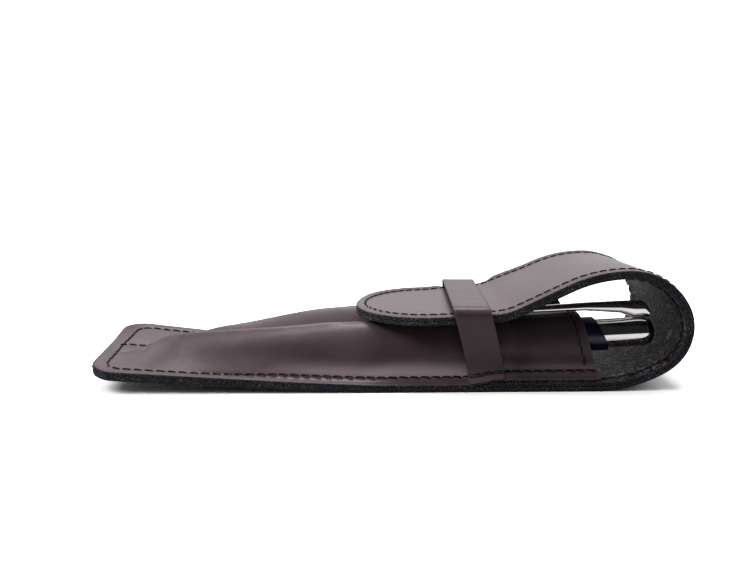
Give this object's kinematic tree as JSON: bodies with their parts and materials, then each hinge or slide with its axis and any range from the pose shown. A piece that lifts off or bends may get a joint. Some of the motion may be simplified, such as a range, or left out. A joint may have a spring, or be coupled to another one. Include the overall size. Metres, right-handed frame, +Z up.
{
  "type": "double pen case",
  "caption": "Leather pen case of one folded strip with two moulded tunnels, a half-round tongue flap under a keeper strap, and a clipped pen.",
  "frame": {"origin": "on the surface that the case lies on, below the middle of the whole case", "axes": "+X along the case towards its bend, +Y across it away from the tunnel that holds the pen, +Z up"},
  "size_m": [0.1654, 0.0454, 0.0343],
  "materials": {
    "brown_hide": "smooth, softly polished",
    "moulded_hide": "smooth, wet moulded",
    "dark_lining": "matt, finely wrinkled",
    "strap_hide": "smooth",
    "polished_chrome": "mirror polished",
    "navy_lacquer": "gloss lacquer",
    "black_plastic": "satin"
  },
  "bodies": {
    "case": {"back_hide": "brown_hide", "pocket_lining": "dark_lining", "front_panel": "moulded_hide", "keeper_strap": "strap_hide"},
    "bend_low": {"bend_hide_1": "brown_hide", "bend_lining_1": "dark_lining"},
    "bend_middle": {"bend_hide_2": "brown_hide", "bend_lining_2": "dark_lining"},
    "bend_high": {"bend_hide_3": "brown_hide", "bend_lining_3": "dark_lining"},
    "flap": {"flap_hide": "brown_hide", "flap_lining": "dark_lining"},
    "pen": {"pen_barrel": "navy_lacquer", "pen_tube": "polished_chrome", "pen_clip": "polished_chrome", "pen_end_dome": "black_plastic", "pen_nose": "polished_chrome", "pen_tip": "polished_chrome"}
  },
  "joints": [
    {"name": "flap_open", "type": "hinge", "parent": "case", "child": "bend_low", "pos_m": [0.07094, 0, 0.00274], "axis": [0, 1, 0], "range_deg": [0, 22.5], "deforming": ["keeper_strap"]},
    {"name": "fold_2", "type": "hinge", "parent": "bend_low", "child": "bend_middle", "pos_m": [0.08175, 0, 0.01199], "axis": [0, 1, 0], "range_deg": [0, 45]},
    {"name": "fold_3", "type": "hinge", "parent": "bend_middle", "child": "bend_high", "pos_m": [0.08175, 0, 0.0227], "axis": [0, 1, 0], "range_deg": [0, 45]},
    {"name": "fold_4", "type": "hinge", "parent": "bend_high", "child": "flap", "pos_m": [0.07128, 0, 0.03282], "axis": [0, 1, 0], "range_deg": [0, 45]},
    {"name": "pen_slide", "type": "slide", "parent": "case", "child": "pen", "axis": [0.9988, 0, 0.0489], "range_m": [0, 0.003]}
  ],
  "couplings": [
    {"joint": "fold_2", "follows": "flap_open", "ratio": 2},
    {"joint": "fold_3", "follows": "flap_open", "ratio": 2},
    {"joint": "fold_4", "follows": "flap_open", "ratio": 2}
  ]
}
